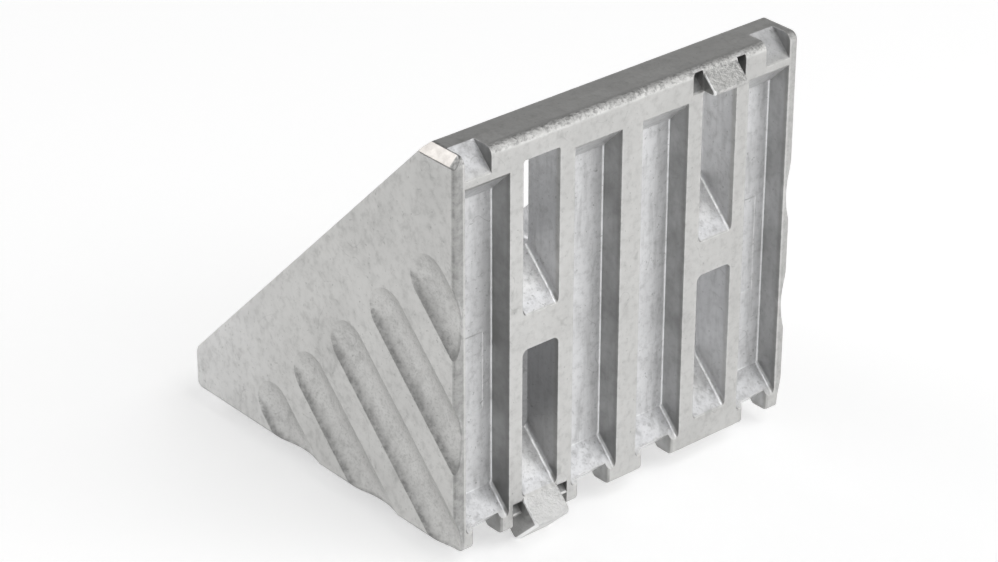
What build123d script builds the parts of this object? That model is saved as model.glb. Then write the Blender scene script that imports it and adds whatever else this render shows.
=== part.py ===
from build123d import *
import os

os.makedirs("parts", exist_ok=True)

# Die-cast corner bracket that joins two slotted aluminium profiles at a right angle.
# X runs across the width, the upright mounting face lies in the plane Y = 0 and the lying one
# in Z = 0, so the outer corner of the profile's seat is the X axis. Both legs are alike: whatever
# one leg has, the other has too, mirrored about the plane Y = Z, with only its bevel of another
# size. The outer half of the die draws off along (0, -1, -1), so the walls that it leaves rise at
# 45 degrees from either face.
# Every size is in millimetres.

# Size of the bracket
profile_pitch = 45.0      # between neighbouring grooves of the profile, and so between columns
side_inset = 1.5          # each side stands back this far from a profile two pitches wide
leg = 84.0                # corner to the end of a leg
flange = 9.0              # thickness of a leg
cheek = 3.5               # thickness of a side wall

# Long slots, two above each other in each column
slot_width = 9.0          # M8 bolt with room to shift
slot_start = 6.3          # lower slot's sloping wall meets the face here, from the corner
slot_end_bar = 5.2        # what is left between the upper slot and the end of the leg
slot_bridge = 7.3         # what is left between the two slots
slot_radius = 1.0         # corners of a slot on its sloping wall
slot_top_radii = (1.4, 0.6)  # corners on the square wall of the lower and of the upper slot

# Channels sunk in each mounting face between the raised lands
channel_depth = 5.2
channel_start = 3.7       # first wall of a channel meets the face here, from the corner
channel_end_bar = 6.5     # what is left between a channel and the end of the leg
channel_corner = 0.8      # where a channel's first wall meets its sides
channel_radius = 0.4      # round the channel's floor
column_inner = 3.6        # land between a slot and the channel nearer the middle
column_outer = 3.2        # land between a slot and the channel nearer the cheek
rib_width = 5.1           # land in the middle
cheek_land = 2.5          # land along a cheek

# Corner between the toes: a 45 degree strip set back from the corner
strip_setback = 5.7       # Y + Z on the strip
toe_shoulder = 2.0        # a toe is wider than its land by this, each side

# Lugs that key into the profile's groove: one at the corner, one at the end of each leg
lug_reach = 2.6           # -(Y + Z) on the front of the corner lug
lug_corner = 1.2          # its two front corners, seen along the slot's sloping wall
lug_radius = 0.6          # all its other edges
pocket_skin = 1.0         # wall left between a pocket beside a lug and the channel
pocket_depth = 3.6        # a pocket beside a lug, into the face
corner_ridge = 3.0        # ridge below a corner pocket, from the corner
corner_pocket = 2.6       # height of a corner pocket above its ridge
end_lug_reach = 3.1       # how far an end lug stands out of the face
end_lug_nose = 0.8        # front of an end lug
end_lug_corner = 0.8      # its two front corners, seen along the leg
end_lug_radius = 0.45     # all its other edges
end_lug_root = 1.0        # an end lug is rooted this deep
end_skin = 0.8            # wall left between a pocket and the end of the leg
end_pocket_radii = (1.0, 0.3)  # corner away from the lug, of the inner and outer pocket

# Notches at the end of each leg beside the cheeks
notch_depth = 5.1         # along the leg and into the flange
notch_bar = 6.35          # width of a notch

# Grooves in the outside of each cheek
groove_count = 5
groove_pitch = 17.4       # between neighbouring grooves, square to the draw direction
groove_width = 10.8
groove_depth = 1.7
groove_end = 45.3         # from the corner to the centre of a groove's round end, along the draw

# Edges
corner_radius = 3.5       # inside corner between the legs
root_radius = 1.5         # inside, where a cheek meets a leg
tip_radius = 1.6          # where a cheek's end meets its slope
end_radius = 1.9          # where a mounting face meets the end of its leg
edge_radius = 1.2         # outer corner of the toes and outlines of the cheeks
toe_radius = 0.6          # sides of the toes
upright_bevel = 1.9       # trimmed corner of the first cheek at the end of the upright leg
lying_bevel = 1.0         # the same at the end of the lying leg
bevel_step = 0.35         # small square step at the foot of a bevel

# Worked out
half_width = profile_pitch - side_inset
cheek_inside = half_width - cheek
column_x = profile_pitch / 2
slot_half = slot_width / 2
slot_length = (leg - slot_end_bar - slot_start - slot_bridge) / 2
slot_starts = (slot_start, slot_start + slot_length + slot_bridge)
channel_spans = (
    (rib_width / 2, column_x - slot_half - column_inner),
    (column_x + slot_half + column_outer, half_width - cheek_land),
)
past = 1.0                # how far a cut runs past the faces that it opens
draw = Axis((0, 0, 0), (0, 1, 1))


def leg_planes(x):
    """The same cross-section of both legs at x: local X is the depth from the mounting face
    and local Y the distance from the corner."""
    upright = Plane(origin=(x, 0, 0), x_dir=(0, 1, 0), z_dir=(1, 0, 0))
    lying = Plane(origin=(x, 0, 0), x_dir=(0, 0, 1), z_dir=(-1, 0, 0))
    return upright, lying


def both_sides(low, high):
    """Middle and half-width of the span from low to high on either side of the bracket."""
    middle = (low + high) / 2
    return (-middle, middle), (high - low) / 2


# Room between the cheeks, above both legs
with BuildPart() as room:
    with BuildSketch(Plane.YZ):
        with Locations((flange, flange)):
            Rectangle(leg, leg, align=(Align.MIN, Align.MIN))
    extrude(amount=cheek_inside, both=True)
    fillet(edges().filter_by(Axis.X).sort_by(draw)[0], radius=corner_radius)
    lengthwise = edges().filter_by(Axis.X, reverse=True).sort_by(draw)
    arc_and_two_roots_a_side = lengthwise[:6]
    fillet(arc_and_two_roots_a_side, radius=root_radius)

# Lug at the corner: a bar along the draw, as deep as the slot's sloping wall lets it be
with BuildPart() as corner_lug:
    with BuildSketch(Plane(origin=(-column_x, 0, 0), x_dir=(0, 1, 1), z_dir=(1, 0, 0))):
        with Locations((-lug_reach / 2**0.5, 0)):
            Rectangle(
                (lug_reach + 2 * slot_start) / 2**0.5,
                2 * slot_start / 2**0.5,
                align=(Align.MIN, Align.CENTER),
            )
    extrude(amount=slot_half, both=True)
    front_corners = faces().sort_by(draw)[0].edges().filter_by(Axis.X, reverse=True)
    fillet(front_corners, radius=lug_corner)
    wall_edges = faces().filter_by(Axis((0, 0, 0), (0, 1, -1))).edges()
    fillet(wall_edges, radius=lug_radius)

# Lugs at the ends of the legs: a square lower wall and a sloping upper one
slot_end = leg - slot_end_bar
with BuildPart() as end_lug:
    with BuildSketch(Plane.YZ.offset(column_x)):
        with BuildLine():
            Polyline(
                (end_lug_root, slot_end),
                (-end_lug_reach, slot_end),
                (-end_lug_reach, slot_end + end_lug_nose),
                (end_lug_root, slot_end + end_lug_nose + end_lug_reach + end_lug_root),
                close=True,
            )
        make_face()
    extrude(amount=slot_half, both=True)
    fillet(faces().sort_by(Axis.Y)[0].edges().filter_by(Axis.Z), radius=end_lug_corner)
    fillet(faces().sort_by(Axis.Y)[0].edges().filter_by(Axis.X), radius=end_lug_radius)
    mirror(about=Plane(origin=(0, 0, 0), z_dir=(0, 1, -1)))

with BuildPart() as bracket_casting:
    # Side profile of the cheeks
    with BuildSketch(Plane.YZ):
        with BuildLine():
            Polyline((0, 0), (leg, 0), (leg, flange), (flange, leg), (0, leg), close=True)
        make_face()
        from_heel = vertices().sort_by(Axis((0, 0, 0), (1, 1, 0)))
        fillet(from_heel[1:3], radius=end_radius)
        fillet(from_heel[3:5], radius=tip_radius)
    extrude(amount=half_width, both=True)
    heel = edges().filter_by(Axis.X).sort_by(draw)[0]
    outlines = faces().filter_by(Axis.X).edges()
    fillet([heel] + outlines, radius=edge_radius)
    add(room.part, mode=Mode.SUBTRACT)

    # Bevels between the outside of the first cheek and the ends of the legs
    for plane, bevel in ((Plane.XZ, upright_bevel), (Plane.XY, lying_bevel)):
        with BuildSketch(plane):
            with BuildLine():
                Polyline(
                    (-half_width - past, leg - bevel),
                    (-half_width + bevel_step, leg - bevel),
                    (-half_width + bevel_step + bevel + past, leg + past),
                    (-half_width - past, leg + past),
                    close=True,
                )
            make_face()
        extrude(amount=leg, both=True, mode=Mode.SUBTRACT)

    # Slots: a sloping wall towards the corner, a square wall at the other end
    for x in (-column_x, column_x):
        for start, top_radius in zip(slot_starts, slot_top_radii):
            with BuildSketch(*leg_planes(x)):
                with BuildLine():
                    Polyline(
                        (-past, start - past),
                        (flange + past, start + flange + past),
                        (flange + past, start + slot_length),
                        (-past, start + slot_length),
                        close=True,
                    )
                make_face()
            extrude(amount=slot_half, both=True, mode=Mode.SUBTRACT)
            slot_edges = edges(Select.LAST)
            square_corners = (
                slot_edges.filter_by(Axis.Y).group_by(SortBy.LENGTH)[0]
                + slot_edges.filter_by(Axis.Z).group_by(SortBy.LENGTH)[0]
            )
            fillet(square_corners, radius=top_radius)
    fillet(edges().filter_by(draw), radius=slot_radius)

    # Channels
    for span in channel_spans:
        middles, half = both_sides(*span)
        for x in middles:
            with BuildSketch(*leg_planes(x)):
                with BuildLine():
                    Polyline(
                        (-past, channel_start - past),
                        (channel_depth, channel_start + channel_depth),
                        (channel_depth, leg - channel_end_bar - channel_depth),
                        (-past, leg - channel_end_bar + past),
                        close=True,
                    )
                make_face()
            extrude(amount=half, both=True, mode=Mode.SUBTRACT)
            fillet(edges(Select.LAST).filter_by(draw), radius=channel_corner)
    for inward in (Axis.Y, Axis.Z):
        floors = faces().filter_by(inward).group_by(inward)[1]
        fillet(floors.edges(), radius=channel_radius)

    # Strip: between the toes the corner is cut back at 45 degrees
    for span in channel_spans:
        middles, half = both_sides(*span)
        for x in middles:
            with BuildSketch(Plane.YZ.offset(x)):
                with BuildLine():
                    Polyline(
                        (-past, -past),
                        (strip_setback + past, -past),
                        (-past, strip_setback + past),
                        close=True,
                    )
                make_face()
            extrude(amount=half - toe_shoulder, both=True, mode=Mode.SUBTRACT)
            for toe_side in faces(Select.LAST).filter_by(Axis.X):
                fillet(toe_side.edges().sort_by(draw)[:3], radius=toe_radius)

    # Corner lug in the first column, as wide as the slot and in line with its sloping wall, with
    # a pocket on either side of it in each face, and the corner cut back between the pockets
    pockets = (
        (-column_x - slot_half - column_outer + pocket_skin, -column_x - slot_half),
        (-column_x + slot_half, -column_x + slot_half + column_inner - pocket_skin),
    )
    for low, high in pockets:
        with BuildSketch(*leg_planes((low + high) / 2)):
            with BuildLine():
                Polyline(
                    (-past, corner_ridge - past),
                    (pocket_depth, corner_ridge + pocket_depth),
                    (pocket_depth, corner_ridge + corner_pocket + pocket_depth),
                    (-past, corner_ridge + corner_pocket - past),
                    close=True,
                )
            make_face()
            with BuildLine():
                Polyline(
                    (-past, corner_ridge + past),
                    (-past, -past),
                    (corner_ridge + past, -past),
                    close=True,
                )
            make_face()
        extrude(amount=(high - low) / 2, both=True, mode=Mode.SUBTRACT)
    add(corner_lug.part)

    # End lug in the second column, over the upper slot, with a pocket on either side of it
    pockets = (
        (column_x - slot_half - column_inner + pocket_skin, column_x - slot_half),
        (column_x + slot_half, column_x + slot_half + column_outer - pocket_skin),
    )
    for (low, high), radius in zip(pockets, end_pocket_radii):
        with BuildSketch(*leg_planes((low + high) / 2)):
            with BuildLine():
                Polyline(
                    (-past, slot_end - past),
                    (pocket_depth, slot_end + pocket_depth),
                    (pocket_depth, leg - end_skin),
                    (-past, leg - end_skin),
                    close=True,
                )
            make_face()
        extrude(amount=(high - low) / 2, both=True, mode=Mode.SUBTRACT)
        pocket_edges = edges(Select.LAST)
        top_edges = (
            pocket_edges.filter_by(Axis.Y).group_by(Axis.Z)[-1]
            + pocket_edges.filter_by(Axis.Z).group_by(Axis.Y)[-1]
        )
        away_from_lug = top_edges.sort_by(lambda edge: abs(edge.center().X - column_x))[-2:]
        fillet(away_from_lug, radius=radius)
    add(end_lug.part)

    # Notches beside the cheeks
    middles, half = both_sides(half_width - cheek_land - notch_bar, half_width - cheek_land)
    for x in middles:
        with BuildSketch(*leg_planes(x)):
            with BuildLine():
                Polyline(
                    (-past, leg - notch_depth - past),
                    (notch_depth + past, leg + past),
                    (-past, leg + past),
                    close=True,
                )
            make_face()
        extrude(amount=half, both=True, mode=Mode.SUBTRACT)

    # Grooves in the cheeks: shallow troughs along the draw, each ending in part of a ball
    groove_radius = (groove_width**2 / 4 + groove_depth**2) / (2 * groove_depth)
    for side in (-1, 1):
        for step in range(groove_count):
            across = (step - (groove_count - 1) / 2) * groove_pitch
            end = Vector(
                side * (half_width - groove_depth + groove_radius),
                (groove_end - across) / 2**0.5,
                (groove_end + across) / 2**0.5,
            )
            trough = Plane(origin=end, x_dir=(0, 1, 1), z_dir=(side, 0, 0))
            with BuildSketch(trough):
                with BuildLine():
                    Line((-leg, 0), (groove_radius, 0))
                    CenterArc((0, 0), groove_radius, 0, 90)
                    Polyline((0, groove_radius), (-leg, groove_radius), (-leg, 0))
                make_face()
            revolve(axis=Axis(end, (0, 1, 1)), mode=Mode.SUBTRACT)

bracket_casting.part.label = "bracket_casting"
export_step(bracket_casting.part, "parts/bracket_casting.step")
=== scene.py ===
import math
from types import SimpleNamespace

import bpy
from mathutils import Matrix, Vector


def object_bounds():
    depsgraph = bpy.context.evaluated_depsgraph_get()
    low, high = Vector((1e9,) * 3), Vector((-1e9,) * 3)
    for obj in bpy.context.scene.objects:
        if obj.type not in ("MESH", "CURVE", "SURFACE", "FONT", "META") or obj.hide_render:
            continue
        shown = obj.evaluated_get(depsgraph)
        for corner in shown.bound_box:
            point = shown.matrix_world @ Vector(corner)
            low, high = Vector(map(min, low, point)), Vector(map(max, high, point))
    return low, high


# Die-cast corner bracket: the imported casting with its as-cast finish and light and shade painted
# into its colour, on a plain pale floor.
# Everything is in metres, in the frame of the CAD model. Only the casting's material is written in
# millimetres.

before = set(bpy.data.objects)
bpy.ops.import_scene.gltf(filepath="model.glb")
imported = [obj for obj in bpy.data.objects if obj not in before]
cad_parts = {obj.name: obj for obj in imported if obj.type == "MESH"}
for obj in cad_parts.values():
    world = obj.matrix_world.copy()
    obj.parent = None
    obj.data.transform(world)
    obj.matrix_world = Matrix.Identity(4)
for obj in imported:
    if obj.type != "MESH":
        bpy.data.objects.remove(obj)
cad_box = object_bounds()

CASTING = "bracket_casting"
MM = 0.001


# ---------------------------------------------------------------- node helpers

class Nodes:
    """Short names for building one node tree. A value is an output socket or a number."""

    def __init__(self, tree):
        self.nodes = tree.nodes
        self.links = tree.links

    def new(self, kind):
        return self.nodes.new(kind)

    def put(self, value, socket):
        if isinstance(value, bpy.types.NodeSocket):
            self.links.new(value, socket)
        else:
            socket.default_value = value

    def surface(self, shader):
        """Make a shader the material's surface."""
        self.put(shader, self.new("ShaderNodeOutputMaterial").inputs["Surface"])

    def split(self, vector):
        """The three coordinates of a vector."""
        node = self.new("ShaderNodeSeparateXYZ")
        self.put(vector, node.inputs["Vector"])
        return tuple(node.outputs)

    def math(self, operation, first, second=0.0):
        node = self.new("ShaderNodeMath")
        node.operation = operation
        self.put(first, node.inputs[0])
        self.put(second, node.inputs[1])
        return node.outputs["Value"]

    def times(self, first, *others):
        for other in others:
            first = self.math("MULTIPLY", first, other)
        return first

    def plus(self, first, *others):
        for other in others:
            first = self.math("ADD", first, other)
        return first

    def larger(self, first, second):
        """The larger of two values, which for masks is where either of them holds."""
        return self.math("MAXIMUM", first, second)

    def ramp(self, value, low, high, low_out=0.0, high_out=1.0):
        """Map low..high of a value smoothly to low_out..high_out, clamped."""
        node = self.new("ShaderNodeMapRange")
        node.interpolation_type = "SMOOTHSTEP"
        for name, end in (("From Min", low), ("From Max", high),
                          ("To Min", low_out), ("To Max", high_out)):
            node.inputs[name].default_value = end
        self.put(value, node.inputs["Value"])
        return node.outputs["Result"]

    def fall(self, value, low, high):
        """1 up to `low`, falling to 0 at `high`."""
        return self.ramp(value, low, high, 1, 0)

    def outside(self, mask):
        """1 where a mask is 0, and 0 where it is 1."""
        return self.fall(mask, 0, 1)

    def between(self, value, span, soft=0.1):
        """1 within a span, falling to 0 over `soft` on either side of it."""
        low, high = span
        return self.times(self.ramp(value, low - soft, low), self.fall(value, high, high + soft))

    def noise(self, coords, size, detail=4.0, roughness=0.55, stretch=1.0):
        """Noise in patches of about `size` millimetres, drawn out upwards by `stretch`."""
        mapping = self.new("ShaderNodeMapping")
        mapping.vector_type = "TEXTURE"
        mapping.inputs["Scale"].default_value = (1, 1, stretch)
        self.put(coords, mapping.inputs["Vector"])
        texture = self.new("ShaderNodeTexNoise")
        texture.inputs["Scale"].default_value = 1 / (size * MM)
        texture.inputs["Detail"].default_value = detail
        texture.inputs["Roughness"].default_value = roughness
        self.put(mapping.outputs["Vector"], texture.inputs["Vector"])
        return texture.outputs["Fac"]

    def openness(self, distance, inside=False):
        """How much is open within `distance` millimetres; with `inside`, how thick the metal is."""
        node = self.new("ShaderNodeAmbientOcclusion")
        node.only_local = True
        node.inside = inside
        node.samples = OPENNESS_SAMPLES
        node.inputs["Distance"].default_value = distance * MM
        return node.outputs["AO"]

    def mix(self, factor, first, second):
        node = self.new("ShaderNodeMix")
        node.data_type = "RGBA"
        self.put(factor, node.inputs["Factor"])
        self.put(first, node.inputs["A"])
        self.put(second, node.inputs["B"])
        return node.outputs["Result"]


def new_material(name):
    """An empty node material and its node helper."""
    material = bpy.data.materials.new(name)
    material.use_nodes = True
    material.node_tree.nodes.clear()
    return material, Nodes(material.node_tree)


# ---------------------------------------------------------------- finish of the casting, with painted light and shade

# Tones
METAL = (0.60, 0.597, 0.585, 1)    # outsides
WORN_AND_LIT = (0.65, 0.647, 0.635, 1)     # lands, where they have been handled, and painted light on them, strongest on the left
COOL = (0.73, 0.733, 0.742, 1)     # painted light on whatever stands back from the lands
PALE = (0.84, 0.843, 0.852, 1)     # painted light on channels, the cheeks' far end and lower slot walls on the right; also the lugs by the corner
LIT_SLOPE = (0.88, 0.885, 0.905, 1)    # painted light on the slopes at the ends of channels and slots
BRIGHT = (0.92, 0.92, 0.92, 1)     # rubbed edges; painted highlight on lug edges and channel ceilings; painted light on slopes in the slots
GROUND = (0.80, 0.765, 0.73, 1)    # trimmed bevels
DULL = (0.26, 0.26, 0.255, 1)      # dirt and stains, and painted shade

# Places on the casting, in millimetres. `across` counts from the middle to both sides, `depth` from
# either mounting face into its leg, and `along` from the corner to the end of either leg. The first
# cheek is the one at -X.
HALF_WIDTH = cad_box[1][0] / MM
LEG_END = cad_box[1][2] / MM
CHANNELS_ACROSS = ((2.5, 14.5), (30.1, 41.1))
CHANNEL_DEPTH = (0.1, 5.4)
CHANNEL_FLOOR_DEPTH = (4.9, 5.5)
SLOTS_ACROSS = (17.6, 27.4)
SLOT_DEPTH = (0.1, 8.8)
CORNER_LUG_X = (-27.1, -17.9)
CORNER_POCKETS_X = ((-29.1, -27.05), (-17.95, -15.5))
CORNER_POCKETS_ALONG = (3.3, 9.2)
END_POCKETS_X = ((15.5, 17.95), (27.05, 29.1))
END_POCKETS_ALONG = (LEG_END - 7, LEG_END - 0.75)
POCKET_DEPTH = (0.4, 3.6)
PADS = (                           # X and Z of the two bare pads on the channels' floors
    ((-38.6, -32.6), (26.6, 42.7)),
    ((32.9, 38.3), (26.9, 47.6)),
)

# Relief, in millimetres
SWELL_HEIGHT = 0.10
MOTTLE_HEIGHT = 0.03
FINE_HEIGHT = 0.025
LUMP_HEIGHT = 0.24                 # rough lugs and end edges only
PAD_HEIGHT = -0.2
SOFT_EDGE = 0.25                   # radius that the shading gives to a sharp edge

SATIN = (0.38, 0.52)               # range of the roughness
DRY = 0.18                         # roughness added on flat slopes and channel floors

OPENNESS_SAMPLES = 8
SOFT_EDGE_SAMPLES = 6


def measure(n):
    """Where a point lies, in millimetres, and how the surface faces there, 0.71 at 45 degrees."""
    texture = n.new("ShaderNodeTexCoord")
    at = SimpleNamespace(coords=texture.outputs["Object"])
    at.x, at.y, at.z = (n.times(value, 1 / MM) for value in n.split(at.coords))
    at.nx, at.ny, at.nz = n.split(texture.outputs["Normal"])
    # The same on both halves and on both legs
    at.across = n.math("ABSOLUTE", at.x)
    at.depth = n.math("MINIMUM", at.y, at.z)
    at.along = n.larger(at.y, at.z)
    at.sideways = n.math("ABSOLUTE", at.nx)
    at.outward = n.larger(n.times(at.ny, -1.0), n.times(at.nz, -1.0))
    at.endward = n.larger(at.ny, at.nz)
    at.upright = n.ramp(at.sideways, 0.80, 0.95)    # walls square to the mounting face
    return at


def find_cheeks(n, at):
    """The two side walls, their grooves, and the grooves' flanks that face up and forward."""
    at.cheek = n.ramp(at.across, HALF_WIDTH - 2.2, HALF_WIDTH - 1.9)
    at.groove = n.times(at.cheek, n.fall(at.across, HALF_WIDTH - 0.6, HALF_WIDTH - 0.2))
    up_forward = n.math("SUBTRACT", n.times(at.nz, 0.5), n.times(at.ny, 0.87))
    at.flank = n.times(at.cheek, n.ramp(at.sideways, 0.60, 0.75), n.ramp(up_forward, 0.34, 0.52))


def find_ends(n, at):
    """The ends of the legs: end faces, their ragged front edge, and the first cheek's bevels."""
    at.near_end = n.ramp(at.along, LEG_END - 2.6, LEG_END - 1.8)
    at.end_face = n.times(n.ramp(at.along, LEG_END - 1.0, LEG_END - 0.3),
                          n.ramp(at.endward, 0.6, 0.9))
    at.end_edge = n.times(at.near_end, n.ramp(at.outward, 0.15, 0.40),
                          n.ramp(at.endward, 0.15, 0.40), n.fall(at.depth, 2.1, 2.5))
    bevel_side = n.times(at.near_end, n.fall(at.nx, -0.6, -0.5), n.ramp(at.endward, 0.5, 0.6))
    at.bevel = n.times(bevel_side, n.ramp(at.depth, 1.6, 1.9))
    step = n.times(at.end_face, n.fall(at.x, 2.6 - HALF_WIDTH, 3.1 - HALF_WIDTH))
    at.bevel_rim = n.larger(step, bevel_side)


def find_channels(n, at):
    """The lands, and the slopes, channels, slots and notches that stand back from them."""
    at.land = n.times(n.fall(at.depth, 0.2, 0.6), n.ramp(at.outward, 0.85, 0.95))
    at.recessed = n.times(n.ramp(at.depth, 0.6, 1.6), n.outside(at.cheek), n.outside(at.end_face))
    near_front = n.times(n.ramp(at.depth, 0.1, 0.4), n.outside(at.cheek), n.outside(at.near_end))
    at.slope = n.times(n.larger(at.recessed, near_front),
                       n.ramp(at.outward, 0.5, 0.65), n.ramp(at.endward, 0.5, 0.65))
    at.notch_floor = n.times(at.slope, n.ramp(at.along, LEG_END - 7, LEG_END - 5))
    columns = n.larger(*(n.between(at.across, span, soft=0.05) for span in CHANNELS_ACROSS))
    at.channel = n.times(columns, n.between(at.depth, CHANNEL_DEPTH))
    at.ceiling = n.times(at.channel, n.fall(at.endward, -0.6, -0.4))
    at.slot_side = n.times(at.upright, n.between(at.across, SLOTS_ACROSS),
                           n.between(at.depth, SLOT_DEPTH))


def find_lugs(n, at):
    """The lugs, their sides and edges, and the pockets beside them."""
    at.lugs = n.fall(at.depth, -0.5, -0.1)
    corner_lug = n.times(n.between(at.x, CORNER_LUG_X), n.fall(at.along, 9, 10))
    at.lug_side = n.times(n.larger(at.lugs, corner_lug), n.ramp(at.sideways, 0.75, 0.9))
    at.lug_edge = n.times(at.lugs, n.between(at.sideways, (0.35, 0.80), soft=0.12),
                          n.ramp(at.nx, -0.1, 0.1, 1, 0.3))
    beside_end = n.larger(*(n.between(at.x, span) for span in END_POCKETS_X))
    beside_corner = n.larger(*(n.between(at.x, span) for span in CORNER_POCKETS_X))
    pockets = n.larger(n.times(beside_end, n.between(at.along, END_POCKETS_ALONG)),
                       n.times(beside_corner, n.between(at.along, CORNER_POCKETS_ALONG)))
    at.pockets = n.times(pockets, n.between(at.depth, POCKET_DEPTH, soft=0.25))


def find_edges(n, at):
    """Edges painted dark as shade, edges that wear bright, and deep corners painted with shade."""
    side_edge = n.times(n.ramp(at.sideways, 0.10, 0.35), n.ramp(at.outward, 0.15, 0.45),
                        n.fall(at.depth, 0.8, 1.6), n.outside(at.lugs))
    at.dark_edge = n.larger(side_edge, n.times(at.groove, n.fall(at.depth, 0.2, 0.9)))
    at.worn_edge = n.times(n.fall(n.openness(0.9, inside=True), 0.55, 0.85),
                           n.fall(side_edge, 0, 0.5))
    at.deep = n.larger(n.fall(n.openness(3), 0.28, 0.50), at.pockets)


def make_patterns(n, coords):
    """The noises that colour and relief share, from coarse to fine."""
    contour = n.math("ABSOLUTE", n.math("SUBTRACT", n.noise(coords, 9, detail=1), 0.5))
    return SimpleNamespace(
        clouds=n.noise(coords, 11, detail=5, roughness=0.6),
        hairlines=n.fall(contour, 0.001, 0.006),
        blotches=n.noise(coords, 7, detail=3, roughness=0.7, stretch=1.6),
        swell=n.noise(coords, 3.5, detail=3),
        mottle=n.noise(coords, 1.7, detail=6, roughness=0.65),
        streaks=n.noise(coords, 1.6, detail=4, roughness=0.6, stretch=6),
        specks=n.noise(coords, 0.8, detail=2),
        lumps=n.noise(coords, 0.7, detail=4, roughness=0.65),
        fine=n.noise(coords, 0.5, detail=3, roughness=0.6))


def casting_colour(n, at, skin):
    """The colour, laid on in layers: each has a tone and the factors of its amount."""
    x, y, z = at.x, at.y, at.z
    off_slope = n.outside(at.slope)
    off_channel = n.outside(at.channel)
    off_cheek = n.outside(at.cheek)
    dust = n.times(at.groove, n.ramp(skin.fine, 0.46, 0.68, 0, 0.27))
    stain_and_shade = n.times(at.flank, n.ramp(skin.mottle, 0.30, 0.62, 0.02, 0.66),
                    n.ramp(skin.lumps, 0.38, 0.62, 0.55, 1.2))
    rubbed = n.times(at.worn_edge, n.ramp(skin.mottle, 0.35, 0.6, 0.25, 0.08))
    layers = (
        # The bare metal: lands painted lighter, most on the left; paler where it stands back, as
        # painted light; darker at the top; painted light at the cheeks' far end
        (WORN_AND_LIT, at.land, n.ramp(x, -30, 30, 1, 0.1)),
        (COOL, at.recessed),
        (PALE, at.recessed, at.channel, off_slope),
        # Painted highlight on the channels' ceilings, stronger towards the right
        (BRIGHT, at.ceiling, n.ramp(x, -30, 0, 0, 0.8)),
        # Painted light on the slopes, and more of it deep in the slots
        (LIT_SLOPE, at.slope, n.ramp(at.channel, 0, 1, 0.7, 0.4)),
        (BRIGHT, at.slope, off_channel, n.ramp(at.depth, 1, 4.5)),
        (DULL, n.ramp(z, 45, 80, 0, 0.11), off_channel),
        # Painted light on the cheeks towards their far end
        (PALE, at.cheek, n.ramp(y, 45, 80, 0, 0.25)),
        # Its skin: clouds, mottle, specks, lumps on the slopes, blotches and hairlines
        (DULL, n.ramp(skin.clouds, 0.35, 0.70, 0, 0.14)),
        (DULL, n.ramp(skin.mottle, 0.45, 0.75, 0, 0.26)),
        (DULL, n.ramp(skin.specks, 0.66, 0.74, 0, 0.45)),
        (DULL, at.slope, n.ramp(skin.lumps, 0.52, 0.68, 0, 0.25)),
        # Painted shade on the slopes, growing towards the right
        (DULL, at.slope, n.ramp(x, 0, 40, 0, 0.10)),
        (DULL, n.ramp(skin.blotches, 0.60, 0.72, 0, 0.28)),
        (DULL, skin.hairlines, n.ramp(skin.blotches, 0.52, 0.58), 0.25),
        # Drag marks along the draw, weaker in the room inside
        (DULL, n.larger(at.upright, at.recessed), off_cheek,
         n.ramp(at.depth, 8.5, 8.9, 1, 0.35), n.ramp(skin.streaks, 0.45, 0.75, 0, 0.26)),
        # Rough lugs, paler by the corner, and rough end edges
        (PALE, at.lugs, n.ramp(at.along, 10, 70, 0.25, 0)),
        (DULL, at.lugs, n.ramp(at.along, 10, 70, 0.15, 1),
         n.ramp(skin.lumps, 0.40, 0.75, 0.05, 0.6)),
        (DULL, at.end_edge, n.ramp(skin.lumps, 0.44, 0.66, 0, 0.75)),
        # Dust in the grooves, stains with painted shade on their flanks that face up and forward,
        # and edges painted dark as shade, most on the left
        (DULL, n.larger(dust, stain_and_shade)),
        (DULL, at.dark_edge, n.ramp(x, -30, 30, 1, 0.35),
         n.ramp(skin.mottle, 0.3, 0.7, 0.42, 0.72)),
        # Painted shade on the sides of channels and slots, darker towards the first cheek, and
        # painted light on the lower slot sides on the right
        (DULL, at.channel, at.upright, n.ramp(x, -35, 45, 1.0, 0.65),
         n.ramp(skin.clouds, 0.3, 0.7, 0.75, 1.0)),
        (DULL, at.slot_side, n.ramp(x, -20, 15, 0.40, 0), n.fall(z, 10, 45)),
        (PALE, at.slot_side, n.ramp(x, 10, 20, 0, 0.25), n.fall(z, 30, 50)),
        # The second notch's floor darker; painted shade on the lugs' sides, the end faces and in
        # deep corners and pockets
        (DULL, at.notch_floor, n.ramp(x, 20, 35), 0.30),
        (DULL, n.larger(n.times(at.lug_side, 0.85), n.times(at.end_face, 0.18))),
        (DULL, at.deep, 0.8),
        # Rubbed edges; the lugs' edges rubbed and painted with a highlight, stronger on their left;
        # and the trimmed bevels with their dark rim
        (BRIGHT, n.larger(rubbed, n.times(at.lug_edge, 0.9))),
        (DULL, at.bevel_rim, n.ramp(skin.lumps, 0.42, 0.60, 0.40, 0.95)),
        (GROUND, at.bevel),
    )
    colour = METAL
    for tone, *amounts in layers:
        colour = n.mix(n.times(*amounts), colour, tone)
    return colour


def casting_roughness(n, at, skin):
    """Satin all over, and drier on flat slopes and on the channels' floors."""
    flat_slope = n.times(at.slope, n.fall(at.sideways, 0.03, 0.15))
    channel_floor = n.times(at.channel, n.ramp(at.outward, 0.96, 0.99))
    return n.plus(n.ramp(skin.mottle, 0.3, 0.7, *SATIN),
                  n.times(n.larger(flat_slope, channel_floor), DRY))


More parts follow.
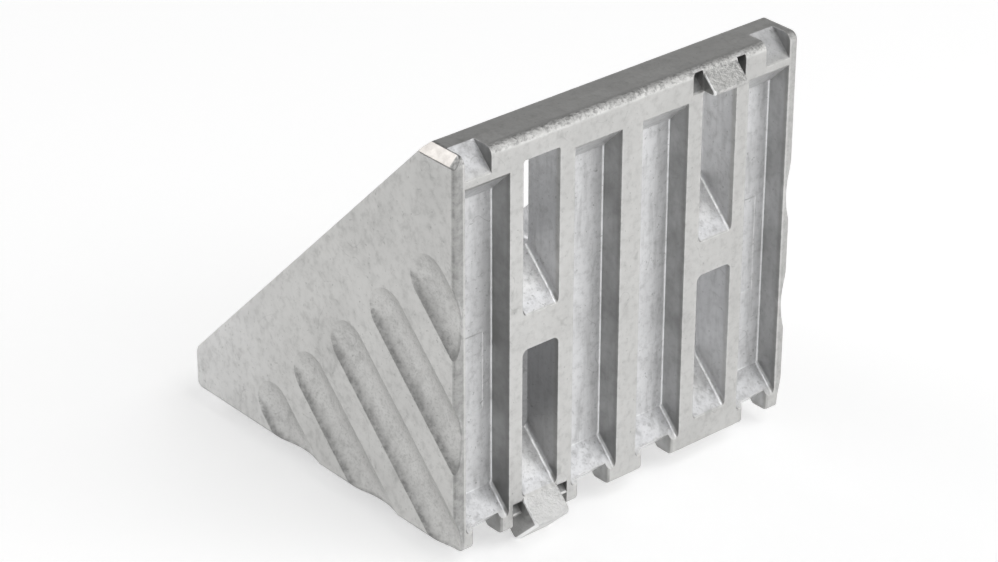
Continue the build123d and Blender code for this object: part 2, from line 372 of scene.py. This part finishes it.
def casting_normal(n, at, skin):
    """Relief of the skin and of the two bare pads, over edges that are a little rounded."""
    rough = n.larger(at.lugs, at.end_edge)
    height = n.plus(n.times(skin.swell, SWELL_HEIGHT * MM),
                    n.times(skin.fine, FINE_HEIGHT * MM),
                    n.times(skin.mottle, MOTTLE_HEIGHT * MM),
                    n.times(n.math("SUBTRACT", skin.lumps, 0.5), rough, LUMP_HEIGHT * MM))
    on_floor = n.between(at.y, CHANNEL_FLOOR_DEPTH)
    for x_span, z_span in PADS:
        pad = n.times(on_floor, n.between(at.x, x_span, soft=0.3),
                      n.between(at.z, z_span, soft=0.3))
        height = n.plus(height, n.times(pad, PAD_HEIGHT * MM))
    softened = n.new("ShaderNodeBevel")
    softened.samples = SOFT_EDGE_SAMPLES
    softened.inputs["Radius"].default_value = SOFT_EDGE * MM
    bump = n.new("ShaderNodeBump")
    bump.inputs["Strength"].default_value = 1.0
    bump.inputs["Distance"].default_value = 1.0
    n.put(height, bump.inputs["Height"])
    n.put(softened.outputs["Normal"], bump.inputs["Normal"])
    return bump.outputs["Normal"]


def cast_aluminium():
    """Light grey as-cast aluminium: cloudy, specked, stained and painted with shade in the grooves,
    rough on the lugs, with painted light and shade on its faces and edges.
    """
    material, n = new_material("cast_aluminium")
    at = measure(n)
    for find in (find_cheeks, find_ends, find_channels, find_lugs, find_edges):
        find(n, at)
    skin = make_patterns(n, at.coords)
    shader = n.new("ShaderNodeBsdfPrincipled")
    shader.inputs["Metallic"].default_value = 1.0
    n.put(casting_colour(n, at, skin), shader.inputs["Base Color"])
    n.put(casting_roughness(n, at, skin), shader.inputs["Roughness"])
    n.put(casting_normal(n, at, skin), shader.inputs["Normal"])
    n.surface(shader.outputs["BSDF"])
    return material


def dress_casting():
    material = cast_aluminium()
    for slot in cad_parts[CASTING].material_slots:
        slot.material = material


# ---------------------------------------------------------------- floor, light and camera

FLOOR_SIZE = 8
FLOOR_COLOUR = (0.85, 0.85, 0.85, 1)
FLOOR_GLOW = 0.43

# Name, direction from the casting, distance, side, and radiance; 1 is as bright as white paper
SOFTBOXES = (
    ("front", (0.15, -0.60, 0.78), 1.0, 0.80, 1.9),
    ("front_right", (0.60, -0.78, 0.12), 1.1, 0.75, 1.3),
    ("rear_left", (-0.48, 0.67, 0.57), 1.0, 0.55, 1.6),
)

# Strength of the world low down and high up, and what is left of it on the far left
HORIZON = 1.0
OVERHEAD = 0.30
FAR_LEFT = 0.45

CAMERA_PLACE = (-0.387551, -0.414106, 0.355275)
CAMERA_AZIMUTH = math.radians(-40.58)
CAMERA_ELEVATION = math.radians(28.76)
CAMERA_ROLL = math.radians(0.11)
SENSOR_WIDTH = 36
FOCAL_LENGTH = 121.87


def floor():
    """White floor that keeps the casting's shadow, with a little glow where it is seen."""
    bpy.ops.mesh.primitive_plane_add(size=FLOOR_SIZE, location=(0, 0, cad_box[0][2]))
    plane = bpy.context.object
    plane.name = "floor"
    material, n = new_material("floor_white")
    diffuse = n.new("ShaderNodeBsdfDiffuse")
    diffuse.inputs["Color"].default_value = FLOOR_COLOUR
    path = n.new("ShaderNodeLightPath").outputs
    seen = n.larger(path["Is Camera Ray"], path["Is Glossy Ray"])
    seen = n.larger(seen, path["Is Transmission Ray"])
    glow = n.new("ShaderNodeEmission")
    n.put(n.times(seen, FLOOR_GLOW), glow.inputs["Strength"])
    both = n.new("ShaderNodeAddShader")
    n.put(diffuse.outputs["BSDF"], both.inputs[0])
    n.put(glow.outputs["Emission"], both.inputs[1])
    n.surface(both.outputs["Shader"])
    plane.data.materials.append(material)


def softbox(name, direction, distance, size, radiance):
    """A square softbox that faces the middle of the casting."""
    middle = Vector([(low + high) / 2 for low, high in zip(*cad_box)])
    data = bpy.data.lights.new(name, "AREA")
    data.shape = "SQUARE"
    data.size = size
    data.energy = radiance * math.pi * size * size
    lamp = bpy.data.objects.new(name, data)
    bpy.context.scene.collection.objects.link(lamp)
    away = Vector(direction).normalized()
    lamp.location = middle + away * distance
    lamp.rotation_euler = away.to_track_quat("Z", "Y").to_euler()


def lights():
    """Softboxes at the front, the right and behind on the left, in a room that is pale low down."""
    for box in SOFTBOXES:
        softbox(*box)
    world = bpy.data.worlds.new("studio")
    bpy.context.scene.world = world
    world.use_nodes = True
    n = Nodes(world.node_tree)
    to_right, _, up = n.split(n.new("ShaderNodeTexCoord").outputs["Generated"])
    background = n.nodes["Background"]
    background.inputs["Color"].default_value = (1, 1, 1, 1)
    sky = n.ramp(up, 0.10, 0.45, HORIZON, OVERHEAD)
    dark_left = n.larger(n.ramp(to_right, -0.95, -0.75, FAR_LEFT, 1), n.fall(up, 0.0, 0.05))
    n.put(n.times(sky, dark_left), background.inputs["Strength"])


def camera():
    """The photographer's view: from the left of the upright face, looking down at 29 degrees."""
    data = bpy.data.cameras.new("camera")
    data.sensor_width = SENSOR_WIDTH
    data.lens = FOCAL_LENGTH
    data.clip_start = 0.01
    view = bpy.data.objects.new("camera", data)
    bpy.context.scene.collection.objects.link(view)
    azimuth = Matrix.Rotation(CAMERA_AZIMUTH, 4, "Z")
    tilt = Matrix.Rotation(math.pi / 2 - CAMERA_ELEVATION, 4, "X")
    roll = Matrix.Rotation(CAMERA_ROLL, 4, "Z")
    view.matrix_world = Matrix.Translation(CAMERA_PLACE) @ azimuth @ tilt @ roll
    bpy.context.scene.camera = view


dress_casting()
floor()
lights()
camera()
bpy.context.scene.view_settings.view_transform = "Standard"
